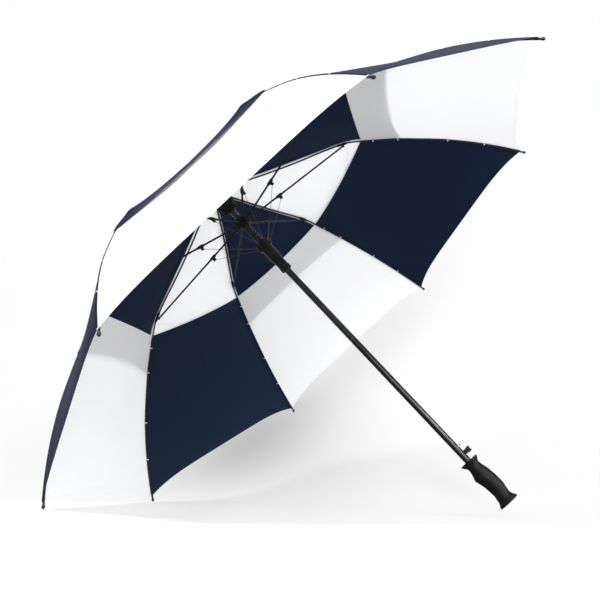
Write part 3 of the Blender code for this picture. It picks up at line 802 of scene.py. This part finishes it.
ROD_PATH = np.concatenate([spline_through(CRANK, 6)[:-1], rib_path(0.0570, 0.3240, 40),
                           rib_path(0.3262, 0.3700, 26), rib_path(0.3740, 0.6715, 60)])


def make_rod(k):
    """The rod itself, one length from the crown pin to the tip, through the flex point."""
    half = np.interp(ROD_PATH[:, 0], *ROD_HALF)
    rod = rod_object("rib_rod_%d" % k, turned_to(k, ROD_PATH), half, half * 1.02, RIB_BLACK,
                     sides=12)
    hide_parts("rib_inner_%d" % k, "rib_outer_%d" % k)
    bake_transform(rod)


def make_bracket(k):
    """Eye at the crown end, crimped sleeve and hanging lug at the stretcher's joint."""
    eye_path = np.stack([np.linspace(PIN[0] - 0.0024, PIN[0] + 0.0028, 7), np.zeros(7),
                         PIN[1] + np.linspace(-0.0006, 0.0068, 7)], -1)
    eye = rod_object("eye", turned_to(k, eye_path), 0.0016, EYE_HALF_UP, STRETCH_BLACK,
                     sides=12, power=3.0)
    sleeve = rod_object("sleeve", turned_to(k, rib_path(0.3150, 0.3400, 13)), SLEEVE_HALF,
                        SLEEVE_HALF, STRETCH_BLACK)
    lug_path = [(LUG_RADIUS, 0, height) for height, _ in LUG]
    lug = rod_object("lug", turned_to(k, lug_path), [half for _, half in LUG], 0.0015,
                     STRETCH_BLACK, power=2.6)
    bracket = joined("rib_bracket_%d" % k, [eye, sleeve, lug])
    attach(bracket, "rib_%d" % k)


def make_tip(k):
    """Ferrule on the rib's end, neck and rounded bead beyond the cloth."""
    path = rib_path(0.6620, 0.6700, 5)
    ahead = path[-1] - path[-2]
    ahead /= np.linalg.norm(ahead)
    path = np.concatenate([path, [path[-1] + ahead * past for past, _ in BEAD]])
    half = FERRULE_HALF + [radius for _, radius in BEAD]
    tip = rod_object("rib_tip_%d" % k, turned_to(k, path), half, half, TIP_METAL)
    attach(tip, "rib_end_%d" % k)


def tie_loop(k, radius):
    nx, nz = rib_normal(radius)
    along, up = np.array([nz, 0, -nx]), np.array([nx, 0, nz])
    centre = np.array([radius, 0, float(RIB_CURVE.value(radius))]) + up * TIE_RISE
    verts, faces = [], []
    angles = np.linspace(0, 2 * math.pi, 15)[:-1]
    for angle in angles:
        spoke = (np.array([0, TIE_HALF_SIDE, 0]) * math.cos(angle)
                 + up * TIE_HALF_UP * math.sin(angle))
        out = spoke / np.linalg.norm(spoke)
        verts += [centre + spoke + along * a + out * b for a, b in TIE_BAND]
    m = len(TIE_BAND)
    for i in range(len(angles)):
        for j in range(m):
            i2, j2 = (i + 1) % len(angles), (j + 1) % m
            faces.append((i * m + j, i2 * m + j, i2 * m + j2, i * m + j2))
    loop = mesh_object("tie", turned_to(k, verts), faces, [THREAD_WHITE])
    outward(loop)
    return loop


def make_ties(k):
    """Ties that hold the cloth to the rib."""
    ties = joined("rib_ties_%d" % k, [tie_loop(k, radius) for radius in TIE_RADII])
    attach(ties, "rib_end_%d" % k)


def seam_side(k):
    """Side of rib k, as the sign of y, with white lower cloth and navy upper cloth."""
    return -1.0 if k % 2 else 1.0


def seam_strip(name, k, radius, across, lift, mat, attrs=None):
    """A narrow strip along rib k, lift above the rib's line."""
    nx, nz = (n[:, None] for n in rib_normal(radius))
    shape = (len(radius), len(across))
    up = lift - np.maximum(across, 0) * SEAM_FALL * (nx / np.maximum(nz, 0.2)) * nz
    top = np.stack([radius[:, None] + nx * up, np.broadcast_to(seam_side(k) * across, shape),
                    RIB_CURVE.value(radius)[:, None] + nz * up], -1)
    normal = np.stack([nx, np.zeros_like(nx), nz], -1)
    uv = np.stack([np.broadcast_to(radius[:, None], shape), np.broadcast_to(across, shape)], -1)
    return shell_object(name, turned_to(k, top), turned_to(k, top - normal * SEAM_THICKNESS),
                        mat, uv=uv, attrs=attrs)


def make_lapped_seam(k):
    """Seam of the lower canopy: the navy edge folded over on to the white side."""
    radius = np.linspace(0.3735, 0.6665, 60)
    gap = np.broadcast_to(0.0014 + np.abs(LAP_ACROSS - 0.0016), (len(radius), len(LAP_ACROSS)))
    seam = seam_strip("lapped_seam_%d" % k, k, radius, LAP_ACROSS, LAP_LIFT, NAVY,
                      attrs={"hem_gap": gap})
    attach(seam, "rib_end_%d" % k)


def make_seam_tapes(k):
    """Seam allowance of the upper cloth, turned towards the navy side."""
    for tag, start, end, beyond, lean_deg, keep in TAPES:
        radius = np.linspace(start, end, max(8, int((end - start) / 0.007)))
        tape = seam_strip("seam_tape_%s_%d" % (tag, k), k, radius, TAPE_ACROSS,
                          upper_lift(radius)[:, None] - TAPE_DROP, SEAM_WHITE)
        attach(tape, "rib_end_%d" % k if beyond else "rib_%d" % k)
        axis, anchor = lay("upper", start, end, math.radians(lean_deg))
        axis = axis * np.array([1, seam_side(k), 1.0])
        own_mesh(tape)


for k in range(1, RIB_COUNT + 1):
    make_rod(k)
    make_bracket(k)
    make_tip(k)
    make_ties(k)
    make_lapped_seam(k)
    make_seam_tapes(k)

# ------------------------------------------------------------------ grip
# Sections from the foot up: height, centre's offset, half width along the offset, half across
GRIP_SECTIONS = np.array([
    (0.0000, 0.0033, 0.0206, 0.0192), (0.0030, 0.0033, 0.0206, 0.0192),
    (0.0090, 0.0032, 0.0172, 0.0164), (0.0160, 0.0033, 0.0150, 0.0146),
    (0.0260, 0.0048, 0.0150, 0.0146), (0.0360, 0.0055, 0.0161, 0.0152),
    (0.0470, 0.0050, 0.0166, 0.0156), (0.0560, 0.0040, 0.0173, 0.0160),
    (0.0650, 0.0022, 0.0180, 0.0162), (0.0710, 0.0012, 0.0184, 0.0162),
    (0.0770, 0.0016, 0.0168, 0.0156), (0.0850, 0.0017, 0.0146, 0.0142),
    (0.0940, 0.0016, 0.0132, 0.0132), (0.0990, 0.0012, 0.0150, 0.0145),
    (0.1035, 0.0008, 0.0188, 0.0175), (0.1078, 0.0007, 0.0198, 0.0185)])
GRIP_TURN = math.radians(157.5)   # azimuth of the offset
GRIP_SIDES = 72
FOOT_SOFTEN, TOP_SOFTEN = 0.0008, 0.0007   # how far the end rings draw in
BORE = SHAFT_RADIUS + 0.0004
# Underside, from the middle out: inset from the first ring, height
GRIP_FOOT = ((0.0150, 0.0006), (0.0068, 0.0006), (0.0060, 0.0000))


def make_grip():
    """Moulded grip lofted through its sections, with soft end edges and a bore for the shaft."""
    angle = 2 * math.pi * np.arange(GRIP_SIDES) / GRIP_SIDES

    def oval(offset, half_x, half_y, height):
        return np.stack([offset + half_x * np.cos(angle), half_y * np.sin(angle),
                         np.full(GRIP_SIDES, height)], -1)

    z = np.concatenate([[0.0004], np.linspace(0.0012, 0.1068, 92), [0.1074]])
    offset, wide, deep = (Curve(GRIP_SECTIONS[:, 0], GRIP_SECTIONS[:, c]).value(z)
                          for c in (1, 2, 3))
    for half in (wide, deep):
        half[0] -= FOOT_SOFTEN
        half[-1] -= TOP_SOFTEN
    rings = [oval(offset[0], wide[0] - inset, deep[0] - inset, h) for inset, h in GRIP_FOOT]
    rings += [oval(*section) for section in zip(offset, wide, deep, z)]
    for f in (0.08, 0.5, 0.96):    # share of the way from the rim to the bore
        rings.append(oval(offset[-1] * (1 - f), wide[-1] * (1 - f) + BORE * f,
                          deep[-1] * (1 - f) + BORE * f, 0.1077 + 0.0001 * f))
    rings += [oval(0.0, BORE, BORE, h) for h in (0.1066, 0.0980)]
    grip = mesh_object("grip_moulding", spun(np.concatenate(rings), GRIP_TURN),
                       tube_faces(len(rings), GRIP_SIDES), [GRIP_RUBBER], smooth_deg=55)
    outward(grip)
    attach(grip, "shaft")
    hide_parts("grip")


make_grip()

# ------------------------------------------------------------------ pieces kept from the CAD
FINISH = {"shaft_tube": SHAFT_BLACK, "crown_notch": HUB_BLACK, "ferrule": HUB_BLACK,
          "main_spring": SPRING_STEEL, "release_button": BUTTON_BLACK, "runner_catch": NICKEL,
          "upper_hub": HUB_BLACK, "hub_spring": BLACK_SPRING, "runner_sleeve": RUNNER_BLACK}
for k in range(1, RIB_COUNT + 1):
    FINISH["stretcher_%d" % k] = STRETCH_BLACK
    FINISH["brace_wire_%d" % k] = WIRE_STEEL
for name, mat in FINISH.items():
    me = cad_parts[name].data
    me.materials.clear()
    me.materials.append(mat)
    me.polygons.foreach_set("use_smooth", np.ones(len(me.polygons), bool))
    me.set_sharp_from_angle(angle=math.radians(38))

# ------------------------------------------------------------------ camera
LENS, SENSOR = 46.76, 36.0        # millimetres
CAMERA_PLACE = Vector((0.6317, 1.4627, 0.0819))
# Directions of the picture: right, down, and away from the lens
RIGHT = Vector((-0.7534, 0.0886, -0.6515)).normalized()
DOWN = Vector((0.5474, -0.4646, -0.6961))
DOWN = (DOWN - RIGHT * DOWN.dot(RIGHT)).normalized()
FORWARD = RIGHT.cross(DOWN).normalized()


def make_camera():
    data = bpy.data.cameras.new("camera")
    data.lens, data.sensor_width = LENS, SENSOR
    data.clip_start, data.clip_end = 0.01, 100
    camera = bpy.data.objects.new("camera", data)
    pose = Matrix((RIGHT, -DOWN, -FORWARD)).transposed().to_4x4()
    pose.translation = CAMERA_PLACE
    camera.matrix_world = pose
    scene.collection.objects.link(camera)
    scene.camera = camera


make_camera()

# ------------------------------------------------------------------ floor and sweep
# The open umbrella lies on the floor, so the floor is tilted in the CAD's frame.
FLOOR_UP = Vector((-0.629, 0.260, 0.733)).normalized()
SIDE = (RIGHT - FLOOR_UP * RIGHT.dot(FLOOR_UP)).normalized()
AHEAD = FLOOR_UP.cross(SIDE).normalized()
if AHEAD.dot(FORWARD) < 0:
    AHEAD = -AHEAD
FLOOR_GAP = 0.0006                # floor below the lowest point
BEND_START, BEND_RADIUS = 2.05, 0.75
WALL_TOP = 7.0
# Painted shadows on the paper, seen only by the camera and set out on a plane one metre before the
# lens:
# centre right and down of the view axis, long and short half-axis, tilt in degrees from
# right towards down, depth (negative is painted light)
PAINTED_SHADOWS = [
    (-0.0641574, 0.1796407, 0.1218991, 0.0487596, -32, 0.30),   # under the hem on the floor
    (-0.0128315, 0.2053037, 0.1411463, 0.0769889, 0, 0.17),     # wider, about the same place
    (0.1732250, -0.0769889, 0.2951240, 0.0769889, 122, 0.07),   # behind the canopy's right side
    (0.0834046, 0.0577417, 0.1154833, 0.0384944, 137, 0.09),
    (0.1988879, 0.2399487, 0.0577417, 0.0153978, 23, 0.07),     # beside the grip
    (0.0256630, 0.2720274, 0.3336185, 0.0282293, 0, -0.08),     # the floor in front
]
PAINTED_SHADOW_GAIN = 600 * LENS / SENSOR  # the shader's steps to a metre on that plane


def lowest_point():
    """Least height of any piece along the floor's normal."""
    low = 1e9
    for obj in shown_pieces():
        co = np.empty(len(obj.data.vertices) * 3)
        obj.data.vertices.foreach_get("co", co)
        pose = np.array(obj.matrix_world)
        world_co = co.reshape(-1, 3) @ pose[:3, :3].T + pose[:3, 3]
        low = min(low, float((world_co @ np.array(FLOOR_UP)).min()))
    return low


def light_left_by_painted_shadows(g, position):
    """Share of the light left on the paper by the painted shadows."""
    ray = g.add("ShaderNodeVectorMath", {0: position, 1: tuple(CAMERA_PLACE)},
                operation="SUBTRACT").outputs["Vector"]

    def seen(axis):
        return g.add("ShaderNodeVectorMath", {0: ray, 1: tuple(axis)},
                     operation="DOT_PRODUCT").outputs["Value"]

    depth = g.math("MAXIMUM", seen(FORWARD), 0.1)
    u, v = [g.math("MULTIPLY", g.math("DIVIDE", seen(axis), depth), PAINTED_SHADOW_GAIN)
            for axis in (RIGHT, DOWN)]
    # depth of painted shadow at this point, summed over the spots
    shade = 0.0
    for right, down, long, short, tilt, strength in PAINTED_SHADOWS:
        c, s = math.cos(math.radians(tilt)), math.sin(math.radians(tilt))
        long, short = long * PAINTED_SHADOW_GAIN, short * PAINTED_SHADOW_GAIN
        du, dv = g.math("ADD", u, -right * PAINTED_SHADOW_GAIN), g.math("ADD", v, -down * PAINTED_SHADOW_GAIN)
        p = g.math("ADD", g.math("MULTIPLY", du, c / long), g.math("MULTIPLY", dv, s / long))
        q = g.math("ADD", g.math("MULTIPLY", dv, c / short), g.math("MULTIPLY", du, -s / short))
        square = g.math("ADD", g.math("MULTIPLY", p, p), g.math("MULTIPLY", q, q))
        spot = g.math("EXPONENT", g.math("MULTIPLY", square, -1.0))
        shade = g.math("ADD", shade, g.math("MULTIPLY", spot, strength))
    return g.math("SUBTRACT", 1.0, shade)


def paper_material():
    """Pale glowing paper with painted shadows that only the camera sees, and clear from behind."""
    g = Nodes("pale_paper_sweep")
    paper = g.noise(scale=3.0, detail=4.0, rough=0.5)
    colour = g.mix(g.scaled(paper, 0.0, 1.0), (0.435,) * 3, (0.450,) * 3)
    geometry = g.add("ShaderNodeNewGeometry")
    left = light_left_by_painted_shadows(g, geometry.outputs["Position"])
    lens_ray = g.add("ShaderNodeLightPath").outputs["Is Camera Ray"]
    # for the camera only, the paper's colour drops to a quarter and takes the painted shadows
    colour = g.mix(lens_ray, colour, g.math("MULTIPLY", left, 0.25))
    # glow 0.33 for other rays; for the camera's, 0.64 of the light left by the painted shadows
    seen_more = g.math("SUBTRACT", g.math("MULTIPLY", left, 0.64), 0.33)
    glow = g.math("ADD", g.math("MULTIPLY", seen_more, lens_ray), 0.33)
    surface = g.principled(Base_Color=colour, Roughness=0.9, Metallic=0.0,
                           Specular_IOR_Level=0.1, Emission_Color=(1.0, 1.0, 1.0),
                           Emission_Strength=glow)
    clear = g.add("ShaderNodeBsdfTransparent")
    both = g.add("ShaderNodeMixShader", {0: geometry.outputs["Backfacing"],
                                         1: surface.outputs[0], 2: clear.outputs[0]})
    return g.done(both, (0.9, 0.9, 0.9))


def make_sweep():
    """Floor that bends up into a wall, under and ahead of the camera."""
    foot = CAMERA_PLACE - FLOOR_UP * (CAMERA_PLACE.dot(FLOOR_UP) - (lowest_point() - FLOOR_GAP))
    profile = [(-6.0 + 0.5 * i, 0.0) for i in range(17)]    # distance ahead, height
    for i in range(17):
        angle = math.pi / 2 * i / 16
        profile.append((BEND_START + BEND_RADIUS * math.sin(angle),
                        BEND_RADIUS * (1 - math.cos(angle))))
    profile.append((BEND_START + BEND_RADIUS, WALL_TOP))
    columns = np.linspace(-8, 8, 9)
    verts = [foot + SIDE * float(x) + AHEAD * ahead + FLOOR_UP * height
             for ahead, height in profile for x in columns]
    w = len(columns)
    faces = [(i * w + j, i * w + j + 1, (i + 1) * w + j + 1, (i + 1) * w + j)
             for i in range(len(profile) - 1) for j in range(w - 1)]
    sweep = mesh_object("studio_sweep", verts, faces, [paper_material()], smooth_deg=80)
    if Vector(sweep.data.polygons[0].normal).dot(FLOOR_UP) < 0:
        sweep.data.flip_normals()
    sweep.visible_glossy = False


make_sweep()

# ------------------------------------------------------------------ light
ROOM_LIGHT = 0.52
ROOM_LIGHT_GLOSSY = 0.16          # dimmer in reflections, so that black parts stay black
LIGHT_TARGET = Vector((0, 0, 0.5))
# Lamps: name, place from the target (to the side, up from the floor, ahead), diameter, watts
LAMPS = (("key", -1.4, 1.8, -1.2, 0.45, 44.0),
         ("second", 1.5, 1.5, -1.6, 0.35, 24.0),
         ("top", 0.3, 2.6, 0.1, 1.8, 14.0),
         ("inside", 2.1, 0.35, -0.9, 1.6, 26.0),
         ("front", 0.3, 0.55, -2.4, 1.4, 26.0))


def make_world():
    world = bpy.data.worlds.new("studio")
    scene.world = world
    world.use_nodes = True
    tree = world.node_tree
    background = tree.nodes["Background"]
    background.inputs["Color"].default_value = (1.0, 1.0, 1.0, 1.0)
    path = tree.nodes.new("ShaderNodeLightPath")
    soft = tree.nodes.new("ShaderNodeMapRange")
    soft.inputs["To Min"].default_value = ROOM_LIGHT
    soft.inputs["To Max"].default_value = ROOM_LIGHT_GLOSSY
    tree.links.new(path.outputs["Is Glossy Ray"], soft.inputs["Value"])
    tree.links.new(soft.outputs["Result"], background.inputs["Strength"])


def make_lamp(name, to_side, up, ahead, size, energy):
    """A disk lamp that faces the target."""
    data = bpy.data.lights.new(name, "AREA")
    data.shape = "DISK"
    data.size = size
    data.energy = energy
    place = LIGHT_TARGET + SIDE * to_side + FLOOR_UP * up + AHEAD * ahead
    lamp = bpy.data.objects.new(name, data)
    lamp.location = place
    lamp.rotation_mode = "QUATERNION"
    lamp.rotation_quaternion = (LIGHT_TARGET - place).to_track_quat("-Z", "Y")
    scene.collection.objects.link(lamp)


make_world()
for lamp in LAMPS:
    make_lamp(*lamp)

scene.view_settings.view_transform = "Standard"
scene.view_settings.look = "None"
